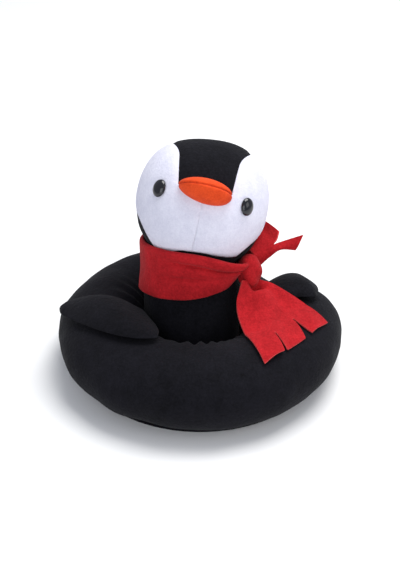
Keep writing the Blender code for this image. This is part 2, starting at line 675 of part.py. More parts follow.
def build_knot():
    """The tied lump where both ends of the scarf come out."""
    bm = bmesh.new()
    bmesh.ops.create_uvsphere(bm, u_segments=16, v_segments=10, radius=1.0)
    for vert in bm.verts:
        pleat = KNOT_PLEATS * math.atan2(vert.co.y, vert.co.x) + KNOT_TWIST * vert.co.z
        swirl = 1.0 + KNOT_SWIRL * math.sin(pleat)
        vert.co = Vector((vert.co.x * KNOT_HALF[0] * swirl, vert.co.y * KNOT_HALF[1] * swirl,
                          vert.co.z * KNOT_HALF[2]))
    knot = new_piece("scarf_knot", bm, Matrix.Translation(KNOT_CENTRE), fleece("red_fleece", RED))
    solid = []
    for step in range(KNOT_SEAT_ROWS + 1):
        share = step / KNOT_SEAT_ROWS
        seat = scarf_inside(share) + SCARF_CLOTH + SCARF_FOLD + GAP
        solid.append(Vector((seat, 0.0, SCARF_BOTTOM + (SCARF_TOP - SCARF_BOTTOM) * share)))
    past = Vector((0.0, 0.0, KNOT_SEAT_REACH))
    solid = [solid[0] - past, *solid, solid[-1] + past]
    solid = [Vector((0.0, 0.0, solid[0].z)), *solid, Vector((0.0, 0.0, solid[-1].z))]
    core = turned(solid[::-1], KNOT_SEAT_STEPS, False)
    drape_scarf(core)
    cut(knot, cutter("knot_seat", core, BODY, None))


def ring_top(x, y):
    """Height of the ring's cover under a point."""
    out = math.hypot(x, y) - RING_CREST_RADIUS
    half = RING_OUTER_HALF if out > 0.0 else RING_INNER_HALF
    share = min(0.98, abs(out) / half)
    height = RING_MIDDLE_HEIGHT + RING_HALF_HEIGHT * math.sqrt(1.0 - share * share)
    return height - ring_dip(Vector((x, y, 0.0)))


def fringed_tail(name, place, ply, slits, slit_start, parent):
    """A strip of fleece whose end is cut into fingers, laid out by a function of across and along."""
    bm = bmesh.new()
    bmesh.ops.create_grid(bm, x_segments=TAIL_COLUMNS, y_segments=TAIL_ROWS, size=0.5)
    spare = []
    for face in bm.faces:
        centre = face.calc_center_median()
        across = centre.x + 0.5
        along = centre.y + 0.5
        if along > slit_start and any(abs(across - slit) < 0.5 / TAIL_COLUMNS for slit in slits):
            spare.append(face)
    bmesh.ops.delete(bm, geom=spare, context="FACES")
    double_wall(bm, lambda point: place(point.x + 0.5, point.y + 0.5),
                lambda point: place(point.x + 0.5, point.y + 0.5) + ply)
    new_piece(name, bm, Matrix.Identity(4), fleece("red_fleece", RED), parent)


# Each edge of the front tail runs from the knot to the fringe through four points.
FRONT_TAIL_LEFT = (Vector((0.0285, -0.0150, 0.0695)), Vector((0.0245, -0.0250, 0.0610)),
                   Vector((0.0285, -0.0440, 0.0555)), Vector((0.0415, -0.0750, 0.0490)))
FRONT_TAIL_RIGHT = (Vector((0.0460, -0.0065, 0.0675)), Vector((0.0580, -0.0080, 0.0622)),
                    Vector((0.0700, -0.0140, 0.0555)), Vector((0.0860, -0.0240, 0.0455)))
FRONT_TAIL_BOW = Vector((0.0018, -0.0026, 0.0))  # its fringed end is a little longer in the middle
FRONT_TAIL_LIFT = 0.0014    # clearance over the ring
FRONT_TAIL_CROWN = 0.004    # how far the cloth arches between its edges near the knot
FRONT_TAIL_ARCHED = 0.25    # share of its length at which that arch is highest
FRONT_TAIL_FLAT = 0.75      # and by which it has gone
FRONT_TAIL_PLY = Vector((0.0, 0.0, SCARF_CLOTH))
FRONT_SLITS = (0.375, 0.7083)
FRONT_SLIT_START = 0.75


def along_edge(points, share):
    """A smooth line through four points."""
    place = 3.0 * share
    first = min(2, int(place))
    local = place - first
    before = points[max(0, first - 1)]
    start = points[first]
    end = points[first + 1]
    after = points[min(3, first + 2)]
    bend = 2.0 * before - 5.0 * start + 4.0 * end - after
    twist = 3.0 * start - before - 3.0 * end + after
    return start + 0.5 * local * (end - before + local * (bend + local * twist))


def front_tail_place(across, along):
    """From the knot the tail falls forward and lies on the ring."""
    spread = between(along_edge(FRONT_TAIL_LEFT, along), along_edge(FRONT_TAIL_RIGHT, along), across)
    spread += FRONT_TAIL_BOW * math.sin(math.pi * across) * along * along
    lying = ring_top(spread.x, spread.y) + FRONT_TAIL_LIFT
    arch = smoothstep(0.0, FRONT_TAIL_ARCHED, along) * smoothstep(FRONT_TAIL_FLAT, FRONT_TAIL_ARCHED, along)
    crown = FRONT_TAIL_CROWN * math.sin(math.pi * across) * arch
    return Vector((spread.x, spread.y, max(lying, spread.z + crown)))


# The back tail is drawn between four lines from the knot out: its low edge, both sides of the slit
# between its two fingers, and its high edge.  Each line has its place across the cloth.
BACK_TAIL_LINES = (
    (0.0, (Vector((0.0430, 0.0105, 0.0695)), Vector((0.0475, 0.0115, 0.0785)),
           Vector((0.0550, 0.0122, 0.0842)), Vector((0.0653, 0.0125, 0.0833)))),
    (0.5, (Vector((0.0430, 0.0098, 0.0765)), Vector((0.0462, 0.0118, 0.0825)),
           Vector((0.0528, 0.0140, 0.0862)), Vector((0.0705, 0.0130, 0.0939)))),
    (0.5833, (Vector((0.0430, 0.0096, 0.0777)), Vector((0.0455, 0.0125, 0.0838)),
              Vector((0.0520, 0.0150, 0.0872)), Vector((0.0544, 0.0200, 0.0922)))),
    (1.0, (Vector((0.0430, 0.0090, 0.0835)), Vector((0.0430, 0.0180, 0.0845)),
           Vector((0.0425, 0.0300, 0.0880)), Vector((0.0430, 0.0365, 0.0945)))),
)
BACK_TAIL_PLY = Vector((0.0, -SCARF_CLOTH, 0.0))
BACK_SLITS = (0.5417,)
BACK_SLIT_START = 0.60


def back_tail_place(across, along):
    """The other end sticks up and out behind the knot."""
    for (low, low_line), (high, high_line) in zip(BACK_TAIL_LINES, BACK_TAIL_LINES[1:]):
        if across <= high + HALF_GAP:
            share = (across - low) / (high - low)
            return between(along_edge(low_line, along), along_edge(high_line, along), share)


for old in list(bpy.data.objects):
    bpy.data.objects.remove(old, do_unlink=True)

head_pivot = pivot("head_pivot", HEAD_CENTRE)
build_ring()
build_body()
build_neck(head_pivot)
build_head(head_pivot)
build_beak(head_pivot)
build_wing("right_wing", RIGHT_LEAF)
build_wing("left_wing", LEFT_LEAF)
build_scarf_wrap()
build_knot()
fringed_tail("scarf_front_tail", front_tail_place, FRONT_TAIL_PLY, FRONT_SLITS, FRONT_SLIT_START,
             pivot("front_tail_root", between(FRONT_TAIL_LEFT[0], FRONT_TAIL_RIGHT[0], 0.5)))
fringed_tail("scarf_back_tail", back_tail_place, BACK_TAIL_PLY, BACK_SLITS, BACK_SLIT_START,
             pivot("back_tail_root", back_tail_place(0.5, 0.0)))
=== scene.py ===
import json
import math
import bmesh
import bpy
from mathutils import Matrix, Vector, noise


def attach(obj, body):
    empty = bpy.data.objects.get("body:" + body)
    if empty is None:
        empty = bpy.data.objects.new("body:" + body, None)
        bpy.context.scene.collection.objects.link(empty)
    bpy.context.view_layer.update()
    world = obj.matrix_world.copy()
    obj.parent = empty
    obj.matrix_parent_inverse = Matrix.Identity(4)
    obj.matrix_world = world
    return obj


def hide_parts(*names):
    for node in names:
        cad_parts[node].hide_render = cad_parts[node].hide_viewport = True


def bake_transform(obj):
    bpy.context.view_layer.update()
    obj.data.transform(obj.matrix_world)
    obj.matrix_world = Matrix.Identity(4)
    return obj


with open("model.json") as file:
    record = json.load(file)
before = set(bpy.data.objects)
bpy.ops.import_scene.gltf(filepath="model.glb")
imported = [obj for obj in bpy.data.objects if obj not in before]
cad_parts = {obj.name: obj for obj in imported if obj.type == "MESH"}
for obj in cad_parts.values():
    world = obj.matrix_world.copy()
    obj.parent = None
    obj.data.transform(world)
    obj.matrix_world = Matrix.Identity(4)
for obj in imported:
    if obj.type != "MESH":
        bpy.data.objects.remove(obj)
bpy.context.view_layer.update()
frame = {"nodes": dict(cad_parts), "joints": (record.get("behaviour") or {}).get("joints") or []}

# Studio
# A plain white floor under a broad soft lamp from above, two weaker ones from the right and the front, and
# an even pale sky. The camera looks down at the toy from the front, as the photograph does.
camera_target = Vector((0.0, 0.0167, 0.0517))
camera_height_angle = math.radians(32.0)
camera_distance = 0.9
picture_height_there = 0.399
sensor = 0.036
millimetres = 1000.0
floor_half = 4.0

lens = bpy.data.cameras.new("camera")
lens.sensor_width = sensor * millimetres
lens.lens = sensor * millimetres * camera_distance / picture_height_there
lens.dof.use_dof = False
camera = bpy.data.objects.new("camera", lens)
bpy.context.collection.objects.link(camera)
camera_back = Vector((0.0, -math.cos(camera_height_angle), math.sin(camera_height_angle)))
camera.location = camera_target + camera_back * camera_distance
camera.rotation_mode = "QUATERNION"
camera.rotation_quaternion = (-camera_back).to_track_quat("-Z", "Y")
bpy.context.scene.camera = camera
bpy.context.scene.view_settings.view_transform = "Standard"


def soft_lamp(name, place, width, watts, colour):
    """A square lamp aimed at the toy."""
    light = bpy.data.lights.new(name, "AREA")
    light.shape = "SQUARE"
    light.size = width
    light.energy = watts
    light.color = colour
    lamp = bpy.data.objects.new(name, light)
    bpy.context.collection.objects.link(lamp)
    lamp.location = place
    lamp.rotation_mode = "QUATERNION"
    lamp.rotation_quaternion = (camera_target - Vector(place)).to_track_quat("-Z", "Y")


soft_lamp("top_lamp", (0.28, 0.30, 1.15), width=0.8, watts=14.5, colour=(1.0, 0.99, 0.97))
soft_lamp("right_lamp", (1.0, -0.55, 0.75), width=0.7, watts=2.2, colour=(1.0, 0.98, 0.96))
soft_lamp("front_lamp", (-0.20, -1.15, 0.55), width=0.9, watts=4.9, colour=(0.97, 0.98, 1.0))

sky = bpy.data.worlds.new("sky")
sky.use_nodes = True
sky_shader = sky.node_tree.nodes["Background"]
sky_shader.inputs["Color"].default_value = (0.86, 0.90, 1.0, 1.0)
sky_shader.inputs["Strength"].default_value = 0.50
bpy.context.scene.world = sky

floor_mesh = bpy.data.meshes.new("floor")
floor_bm = bmesh.new()
bmesh.ops.create_grid(floor_bm, x_segments=1, y_segments=1, size=floor_half)
floor_bm.to_mesh(floor_mesh)
floor_bm.free()
floor = bpy.data.objects.new("floor", floor_mesh)
bpy.context.collection.objects.link(floor)
floor_finish = bpy.data.materials.new("white_floor")
floor_finish.use_nodes = True
floor_shader = floor_finish.node_tree.nodes["Principled BSDF"]
floor_shader.inputs["Base Color"].default_value = (0.93, 0.93, 0.93, 1.0)
floor_shader.inputs["Roughness"].default_value = 0.9
floor_shader.inputs["Specular IOR Level"].default_value = 0.1
floor_mesh.materials.append(floor_finish)

# Body
# The upright body is a stuffed column of short-pile black fleece, cut in two panels and sewn down the
# middle of the belly and of the back. It leans back and swells a little above the ring.
body_foot = Vector((-0.0045, -0.004, 0.0))
body_lean_back = math.radians(14.0)
body_lean_side = math.radians(1.0)
body_waist = 0.0328
body_belly = 0.0338
body_belly_height = 0.055
body_swell_start = 0.020
body_neck_height = 0.085
body_neck_draw = 0.004
body_top = 0.070
body_top_round = 0.006
body_top_drop = 0.004
body_sole = 0.0022
body_rows = 24
body_steps = 96
body_side_share = 0.8
body_lump = 0.0007
body_lump_size = 0.016
weld = 1e-6
seam_depth = 0.0009
seam_width = 0.0022
clump_fibres = 7.0
pill_fibres = 2.2
wear_fibres = 40.0
black_fleece_dark = (0.0014, 0.0014, 0.0024)
black_fleece_light = (0.0100, 0.0096, 0.0142)


class Wire:
    """A socket of a material's nodes. Sums and products of wires add Math nodes."""

    def __init__(self, tree, socket=None):
        self.tree = tree
        self.socket = socket

    def node(self, kind, settings, inputs, output=0):
        made = self.tree.nodes.new(kind)
        for name, value in settings.items():
            setattr(made, name, value)
        for name, value in inputs.items():
            if isinstance(value, Wire):
                self.tree.links.new(value.socket, made.inputs[name])
            else:
                made.inputs[name].default_value = value
        return Wire(self.tree, made.outputs[output])

    def maths(self, operation, first, second):
        return self.node("ShaderNodeMath", {"operation": operation}, {0: first, 1: second})

    def __add__(self, other):
        return self.maths("ADD", self, other)

    def __mul__(self, other):
        return self.maths("MULTIPLY", self, other)

    def __sub__(self, other):
        return self.maths("SUBTRACT", self, other)

    def __rsub__(self, other):
        return self.maths("SUBTRACT", other, self)

    __radd__ = __add__
    __rmul__ = __mul__


def fleece(name, dark, light, nap, pile_depth, sheen, edge=None):
    """Short-pile cloth: fine fibres over soft clumps, with a pale bloom where the pile catches the light.

    nap is the number of fibres per metre. Where edge is a colour, the cloth's cut edges take it.
    """
    finish = bpy.data.materials.new(name)
    finish.use_nodes = True
    tree = finish.node_tree
    shader = tree.nodes["Principled BSDF"]
    wire = Wire(tree)
    place = wire.node("ShaderNodeTexCoord", {}, {}, "Object")
    pile = wire.node("ShaderNodeTexNoise", {},
                     {"Vector": place, "Scale": nap, "Detail": 3.0, "Roughness": 0.7})
    clump = wire.node("ShaderNodeTexNoise", {}, {"Vector": place, "Scale": nap / clump_fibres, "Detail": 2.0})
    pills = wire.node("ShaderNodeTexVoronoi", {"feature": "F1"},
                      {"Vector": place, "Scale": nap / pill_fibres})
    wear = wire.node("ShaderNodeTexNoise", {}, {"Vector": place, "Scale": nap / wear_fibres, "Detail": 2.0})
    tone = wire.node("ShaderNodeMapRange", {"clamp": True},
                     {"Value": pile * 0.5 + clump * 0.3 + wear * 0.35 - pills * 0.12,
                      "From Min": 0.30, "From Max": 0.78, "To Min": 0.0, "To Max": 1.0})
    colour = wire.node("ShaderNodeMix", {"data_type": "RGBA"},
                       {"Factor": tone, "A": (*dark, 1.0), "B": (*light, 1.0)}, 2)
    if edge:
        rim = wire.node("ShaderNodeAttribute", {"attribute_name": "cut_edge"}, {}, "Fac")
        frayed = wire.node("ShaderNodeMapRange", {"clamp": True},
                           {"Value": rim + pile * 0.5, "From Min": 0.85, "From Max": 1.35, "To Min": 0.0,
                            "To Max": 0.75})
        colour = wire.node("ShaderNodeMix", {"data_type": "RGBA"},
                           {"Factor": frayed, "A": colour, "B": (*edge, 1.0)}, 2)
    tree.links.new(colour.socket, shader.inputs["Base Color"])
    rough = wire.node("ShaderNodeMapRange", {"clamp": True},
                      {"Value": pile, "From Min": 0.2, "From Max": 0.8, "To Min": 1.0, "To Max": 0.82})
    tree.links.new(rough.socket, shader.inputs["Roughness"])
    bump = wire.node("ShaderNodeBump", {}, {"Height": pile * 0.55 + clump * 0.5 - pills * 0.35,
                                            "Distance": pile_depth, "Strength": 0.8})
    tree.links.new(bump.socket, shader.inputs["Normal"])
    shader.inputs["Specular IOR Level"].default_value = 0.12
    shader.inputs["Sheen Weight"].default_value = sheen
    shader.inputs["Sheen Roughness"].default_value = 0.45
    shader.inputs["Sheen Tint"].default_value = (*(0.5 + 0.5 * value for value in light), 1.0)
    return finish


black_fleece = fleece("black_fleece", black_fleece_dark, black_fleece_light, nap=850.0, pile_depth=0.0007,
                      sheen=0.06)


def smoothstep(low, high, value):
    share = min(1.0, max(0.0, (value - low) / (high - low)))
    return share * share * (3.0 - 2.0 * share)


def turn_matrix(right, up, forward, place):
    """A frame with the given three directions as its axes."""
    return Matrix.Translation(place) @ Matrix((right, up, forward)).transposed().to_4x4()


body_axis = Vector((-math.tan(body_lean_side), math.tan(body_lean_back), 1.0)).normalized()
body_right = Vector((1.0, 0.0, math.tan(body_lean_side))).normalized()
body_frame = turn_matrix(body_right, body_axis.cross(body_right), body_axis, body_foot)
body_inverse = body_frame.inverted()


def body_radius(height):
    swell = smoothstep(body_swell_start, body_belly_height, height)
    neck = smoothstep(body_belly_height, body_neck_height, height)
    return body_waist + (body_belly - body_waist) * swell - body_neck_draw * neck


def lumps(point, size, depth):
    """Uneven filling: soft lumps of the given size and depth."""
    return depth * noise.noise(point / size)


def turned(profile, steps):
    """Spin an outline in the XZ plane once round Z."""
    bm = bmesh.new()
    verts = [bm.verts.new(point) for point in profile]
    edges = [bm.edges.new(pair) for pair in zip(verts, verts[1:])]
    bmesh.ops.spin(bm, geom=verts + edges, cent=(0.0, 0.0, 0.0), axis=(0.0, 0.0, 1.0),
                   angle=2.0 * math.pi, steps=steps, use_merge=True)
    bmesh.ops.remove_doubles(bm, verts=bm.verts, dist=weld)
    bmesh.ops.recalc_face_normals(bm, faces=bm.faces)
    return bm


def piece_from(name, bm, *finishes):
    """A smooth piece at the origin, with its place in its mesh."""
    mesh = bpy.data.meshes.new(name)
    bm.to_mesh(mesh)
    bm.free()
    mesh.shade_smooth()
    for finish in finishes:
        mesh.materials.append(finish)
    piece = bpy.data.objects.new(name, mesh)
    bpy.context.collection.objects.link(piece)
    return piece


def finer(piece, levels):
    smooth = piece.modifiers.new("smooth", "SUBSURF")
    smooth.levels = levels
    smooth.render_levels = levels
    return piece


column = [Vector((0.0, 0.0, 0.0))]
for step in range(body_rows + 1):
    height = body_top * step / body_rows
    column.append(Vector((body_radius(height), 0.0, height)))
column.append(Vector((body_radius(body_top) - body_top_round, 0.0, body_top - body_top_drop)))
column.append(Vector((0.0, 0.0, body_top - body_top_round)))
body_bm = turned(column, body_steps)
for vert in body_bm.verts:
    out = math.hypot(vert.co.x, vert.co.y)
    if out > body_waist * body_side_share:
        dent = seam_depth * math.exp(-(vert.co.x / seam_width) ** 2)
        puff = lumps(vert.co, body_lump_size, body_lump)
        vert.co.x *= 1.0 + (puff - dent) / out
        vert.co.y *= 1.0 + (puff - dent) / out
    vert.co = body_frame @ vert.co
    vert.co.z = max(vert.co.z, body_sole)
body_skin = finer(piece_from("body_skin", body_bm, black_fleece), 1)
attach(body_skin, "body")
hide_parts("body_left_panel", "body_right_panel", "body_stuffing")

# Ring
# The swim ring is a fat stuffed tube of the same black fleece, gathered where it is sewn to the body and
# sagging a little at the back, under the left flipper. A flat round of fleece closes it underneath.
ring_crest = 0.066
ring_outer_half = 0.033
ring_inner_half = 0.029
ring_half_height = 0.0265
ring_middle = 0.026
ring_dips = ((0.020, 50.0, 27.0), (0.0028, 130.0, 30.0))
ring_dip_pull = 0.35
ring_sole = 0.0018
ring_tube_steps = 64
ring_steps = 160
ring_flank = 0.98
ring_seat = 0.0004
ring_lump = 0.0016
ring_lump_size = 0.030
ring_fine_lump = 0.0005
ring_fine_lump_size = 0.012
gathers = 38
gather_depth = 0.0022
gather_radius = 0.046
gather_low = 0.020
gather_high = 0.040
gather_wander = 2.0
gather_wander_turns = 5.0
gather_uneven = 0.4
gather_uneven_turns = 7.0
base_radius = 0.083
base_steps = 96
base_cloth_thickness = 0.0015
base_edge = 0.0006
base_rim_angle = 1.0


def near_angle(x, y, angle, spread):
    """One at an angle in degrees round the origin, falling off to both sides of it."""
    offset = (math.degrees(math.atan2(y, x)) - angle + 180.0) % 360.0 - 180.0
    return math.exp(-(offset / spread) ** 2)


def ring_dip(x, y):
    """How far the ring sinks at a point."""
    return sum(depth * near_angle(x, y, angle, spread) for depth, angle, spread in ring_dips)


def ring_top(x, y):
    """Height of the ring's cover under a point."""
    out = math.hypot(x, y) - ring_crest
    half = ring_outer_half if out > 0.0 else ring_inner_half
    share = min(ring_flank, abs(out) / half)
    return ring_middle + ring_half_height * math.sqrt(1.0 - share * share) - ring_dip(x, y)


tube = []
for step in range(ring_tube_steps + 1):
    angle = math.radians(180.0 - 360.0 * step / ring_tube_steps)
    half = ring_outer_half if math.cos(angle) > 0.0 else ring_inner_half
    tube.append(Vector((ring_crest + half * math.cos(angle), 0.0,
                        ring_middle + ring_half_height * math.sin(angle))))
ring_bm = turned(tube, ring_steps)
for vert in ring_bm.verts:
    x, y, z = vert.co
    out = math.hypot(x, y)
    around = math.atan2(y, x)
    dip = ring_dip(x, y)
    pull = 1.0 - ring_dip_pull * dip / max(out, ring_inner_half)
    gathered = smoothstep(ring_crest, gather_radius, out) * smoothstep(gather_low, gather_high, z)
    uneven = 1.0 - gather_uneven + gather_uneven * math.sin(gather_uneven_turns * around)
    ripple = uneven * math.sin(gathers * around + gather_wander * math.sin(gather_wander_turns * around))
    fold = gather_depth * gathered * ripple
    puff = lumps(vert.co, ring_lump_size, ring_lump) + lumps(vert.co, ring_fine_lump_size, ring_fine_lump)
    drop = dip * smoothstep(0.0, 2.0 * ring_middle, z)
    swell = 1.0 + puff / ring_outer_half
    middle_x = x / out * ring_crest
    middle_y = y / out * ring_crest
    settled = Vector((middle_x + (x * pull - middle_x) * swell, middle_y + (y * pull - middle_y) * swell,
                      ring_middle + (z - ring_middle) * swell - drop + fold))
    local = body_inverse @ settled
    distance = math.hypot(local.x, local.y)
    clear = body_radius(local.z) - ring_seat
    if distance < clear:
        settled = body_frame @ Vector((local.x * clear / distance, local.y * clear / distance, local.z))
    vert.co = Vector((settled.x, settled.y, max(settled.z, ring_sole)))
ring_skin = finer(piece_from("ring_skin", ring_bm, black_fleece), 1)
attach(ring_skin, "body")
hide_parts("ring_cover", "ring_stuffing")

base_bm = bmesh.new()
bmesh.ops.create_circle(base_bm, cap_ends=True, radius=base_radius, segments=base_steps)
raised = bmesh.ops.extrude_face_region(base_bm, geom=base_bm.faces[:])
bmesh.ops.translate(base_bm, vec=(0.0, 0.0, base_cloth_thickness),
                    verts=[item for item in raised["geom"] if isinstance(item, bmesh.types.BMVert)])
rim_edges = [edge for edge in base_bm.edges if edge.calc_face_angle(0.0) > base_rim_angle]
bmesh.ops.bevel(base_bm, geom=rim_edges, offset=base_edge, offset_type="OFFSET", affect="EDGES", segments=3,
                profile=0.5, material=-1)
bmesh.ops.recalc_face_normals(base_bm, faces=base_bm.faces)
base_cloth = piece_from("base_cloth", base_bm, black_fleece)
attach(base_cloth, "body")
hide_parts("base_panel")

# Neck
# A firm wad of filling in a black fleece sleeve between body and head. The scarf hides it, and the head
# turns and nods on it.
head_centre = Vector(next(joint["pos_m"] for joint in frame["joints"] if joint["name"] == "head_nod"))
head_radius = 0.045
neck_radius = 0.0225
neck_foot = -0.0568
neck_foot_share = 0.9
neck_foot_round = 0.003
neck_clearance = 0.0004
neck_rows = 8
neck_steps = 64

neck_profile = [Vector((0.0, 0.0, neck_foot)), Vector((neck_radius * neck_foot_share, 0.0, neck_foot)),
                Vector((neck_radius, 0.0, neck_foot + neck_foot_round))]
for step in range(neck_rows + 1):
    out = neck_radius * (1.0 - step / neck_rows)
    neck_profile.append(Vector((out, 0.0, -math.sqrt((head_radius + neck_clearance) ** 2 - out * out))))
neck_bm = turned(neck_profile, neck_steps)
neck_frame = body_frame.copy()
neck_frame.translation = head_centre
bmesh.ops.transform(neck_bm, matrix=neck_frame, verts=neck_bm.verts)
neck_roll = piece_from("neck_roll", neck_bm, black_fleece)
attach(neck_roll, "neck")
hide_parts("neck_stuffing")

# Head
# A stuffed ball of five fleece panels: two white halves of the face that meet in a seam under the bill, a
# black blaze from the bill over the crown, and two black panels behind. The seams pull the cloth in.
head_pitch = math.radians(27.5)
head_roll = math.radians(12.0)
head_fullness = 0.06
head_skew = 0.09
face_back = -0.003
face_chin = -0.0316
face_chin_slope = 0.085
cheek_way = (0.78, -0.63)
cheek_reach = 0.0424
blaze_half = 0.018
blaze_slope = 0.12
blaze_flare_start = 0.030
blaze_flare = 56.0
blaze_foot = 0.0105
blaze_drift = -0.075
head_seam_depth = 0.0008
head_seam_width = 0.0017
chin_seam_depth = 0.0004
panel_cloth = 0.0012
head_lump = 0.0005
head_lump_size = 0.020
head_steps = 128
head_rows = 80
white_fleece = fleece("white_fleece", (0.63, 0.63, 0.75), (0.82, 0.82, 0.92), nap=900.0, pile_depth=0.0006,
                      sheen=0.05)

level_up = Vector((0.0, math.sin(head_pitch), math.cos(head_pitch)))
level_right = Vector((1.0, 0.0, 0.0))
head_right = level_right * math.cos(head_roll) - level_up * math.sin(head_roll)
head_up = level_up * math.cos(head_roll) + level_right * math.sin(head_roll)
head_frame = turn_matrix(head_right, head_up, head_right.cross(head_up), head_centre)


def head_reach(way):
    """Distance from the head's middle to its skin: a ball fuller at its upper corners, most at the left."""
    corner = 4.0 * (way.x * max(way.y, 0.0)) ** 2
    skew = way.x * max(way.y, 0.0) ** 4
    return head_radius * (1.0 + head_fullness * corner + head_skew * skew)


def blaze_spread(height):
    widened = blaze_half + blaze_slope * (height - blaze_foot)
    return widened + blaze_flare * max(0.0, height - blaze_flare_start) ** 2


def in_blaze(point):
    return point.y > blaze_foot and abs(point.x) < blaze_half


def cheek_gap(point):
    """How far a point lies beyond the cut lower corners of the face."""
    return abs(point.x) * cheek_way[0] + point.y * cheek_way[1] - cheek_reach


def chin_gap(point):
    """How far a point lies below the face's lower edge, which is lower at the penguin's right."""
    return face_chin + face_chin_slope * point.x - point.y


def in_face(point):
    return (point.z > face_back and chin_gap(point) < 0.0 and cheek_gap(point) < 0.0
            and not in_blaze(point))


def seam_pull(point):
    """How far the cloth is drawn in at a point, by the nearest seam."""
    below = max(face_back - point.z, chin_gap(point), cheek_gap(point))
    gaps = [abs(below)]
    if point.y > blaze_foot:
        gaps.append(abs(abs(point.x) - blaze_half))
    pull = head_seam_depth * math.exp(-(min(gaps) / head_seam_width) ** 2)
    chin = chin_seam_depth * math.exp(-(point.x / head_seam_width) ** 2) * smoothstep(face_chin, 0.0, point.y)
    return max(pull, chin if point.y < blaze_foot else 0.0)


def head_panel(name, wanted, finish):
    bm = bmesh.new()
    bmesh.ops.create_uvsphere(bm, u_segments=head_steps, v_segments=head_rows, radius=head_radius)
    seams = [((0.0, 0.0, 0.0), (1.0, 0.0, 0.0)), ((0.0, 0.0, face_back), (0.0, 0.0, 1.0)),
             ((0.0, face_chin, 0.0), (-face_chin_slope, 1.0, 0.0)),
             ((0.0, blaze_foot, 0.0), (0.0, 1.0, 0.0)),
             ((-blaze_half, 0.0, 0.0), (1.0, 0.0, 0.0)), ((blaze_half, 0.0, 0.0), (1.0, 0.0, 0.0))]
    for side in (-1.0, 1.0):
        cheek = Vector((side * cheek_way[0], cheek_way[1], 0.0))
        seams.append((cheek * (cheek_reach / cheek.length_squared), cheek))
    for place, way in seams:
        bmesh.ops.bisect_plane(bm, geom=bm.verts[:] + bm.edges[:] + bm.faces[:], dist=weld, plane_co=place,
                               plane_no=way)
    spare = [face for face in bm.faces if not wanted(face.calc_center_median())]
    bmesh.ops.delete(bm, geom=spare, context="FACES")
    for vert in bm.verts:
        drawn_in = seam_pull(vert.co)
        spread = blaze_spread(vert.co.y) / blaze_half
        share = abs(vert.co.x) / blaze_half
        fade = share if share < 1.0 else max(0.0, 2.0 - share)
        drift = blaze_drift * max(0.0, vert.co.y - blaze_foot) * smoothstep(0.0, 1.0, 2.0 - share)
        widened = vert.co.x * (1.0 + (spread - 1.0) * smoothstep(0.0, 1.0, fade)) + drift
        way = Vector((widened, vert.co.y, vert.co.z)).normalized()
        puff = lumps(way * head_radius, head_lump_size, head_lump)
        vert.co = head_frame @ (way * (head_reach(way) + puff - drawn_in))
    bmesh.ops.recalc_face_normals(bm, faces=bm.faces)
    outward = sum((face.calc_center_median() - head_centre).dot(face.normal) for face in bm.faces)
    if outward < 0.0:
        bmesh.ops.reverse_faces(bm, faces=bm.faces)
    panel = piece_from(name, bm, finish)
    wall = panel.modifiers.new("cloth", "SOLIDIFY")
    wall.thickness = panel_cloth
    wall.offset = -1.0
    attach(panel, "head")
    return panel


crown_skin = head_panel("crown_skin", in_blaze, black_fleece)
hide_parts("crown_panel", "head_stuffing")
for side_name, side in (("right", -1.0), ("left", 1.0)):
    face_skin = head_panel("face_" + side_name + "_skin",
                           lambda point: in_face(point) and point.x * side > 0.0,
                           white_fleece)
    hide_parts("face_" + side_name + "_panel")
    back_skin = head_panel("back_" + side_name + "_skin",
                           lambda point: not in_face(point) and not in_blaze(point) and point.x * side > 0.0,
                           black_fleece)
    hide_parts("back_" + side_name + "_panel")

# Eyes
# Two domed black safety eyes of polished plastic, pushed through the face and held by a moulded washer
# on the shank behind the cloth.
eye_place = (0.0288, 0.0053)
eye_narrow = 0.84
eye_radius = 0.006
eye_height = 0.0030
eye_shank_radius = 0.002
eye_shank_length = 0.009
eye_rim = 0.0007
eye_rim_share = 0.9
eye_back = 0.0002
eye_rows = 12
eye_steps = 48

eye_plastic = bpy.data.materials.new("eye_plastic")
eye_plastic.use_nodes = True
eye_shader = eye_plastic.node_tree.nodes["Principled BSDF"]
eye_wire = Wire(eye_plastic.node_tree)
eye_point = eye_wire.node("ShaderNodeTexCoord", {}, {}, "Object")
eye_haze = eye_wire.node("ShaderNodeTexNoise", {}, {"Vector": eye_point, "Scale": 400.0, "Detail": 2.0})
eye_rough = eye_wire.node("ShaderNodeMapRange", {"clamp": True},
                          {"Value": eye_haze, "From Min": 0.3, "From Max": 0.7, "To Min": 0.06,
                           "To Max": 0.14})
eye_plastic.node_tree.links.new(eye_rough.socket, eye_shader.inputs["Roughness"])
eye_colour = eye_wire.node("ShaderNodeMix", {"data_type": "RGBA"},
                           {"Factor": eye_haze, "A": (0.004, 0.004, 0.006, 1.0),
                            "B": (0.009, 0.009, 0.013, 1.0)}, 2)
eye_plastic.node_tree.links.new(eye_colour.socket, eye_shader.inputs["Base Color"])
eye_shader.inputs["Coat Weight"].default_value = 0.15
eye_shader.inputs["Coat Roughness"].default_value = 0.05

washer_plastic = bpy.data.materials.new("clear_plastic")
washer_plastic.use_nodes = True
washer_shader = washer_plastic.node_tree.nodes["Principled BSDF"]
washer_wire = Wire(washer_plastic.node_tree)
washer_point = washer_wire.node("ShaderNodeTexCoord", {}, {}, "Object")
washer_flow = washer_wire.node("ShaderNodeTexNoise", {},
                               {"Vector": washer_point, "Scale": 300.0, "Detail": 2.0})
washer_colour = washer_wire.node("ShaderNodeMix", {"data_type": "RGBA"},
                                 {"Factor": washer_flow, "A": (0.66, 0.68, 0.71, 1.0),
                                  "B": (0.78, 0.79, 0.81, 1.0)}, 2)
washer_plastic.node_tree.links.new(washer_colour.socket, washer_shader.inputs["Base Color"])
washer_shader.inputs["Roughness"].default_value = 0.3

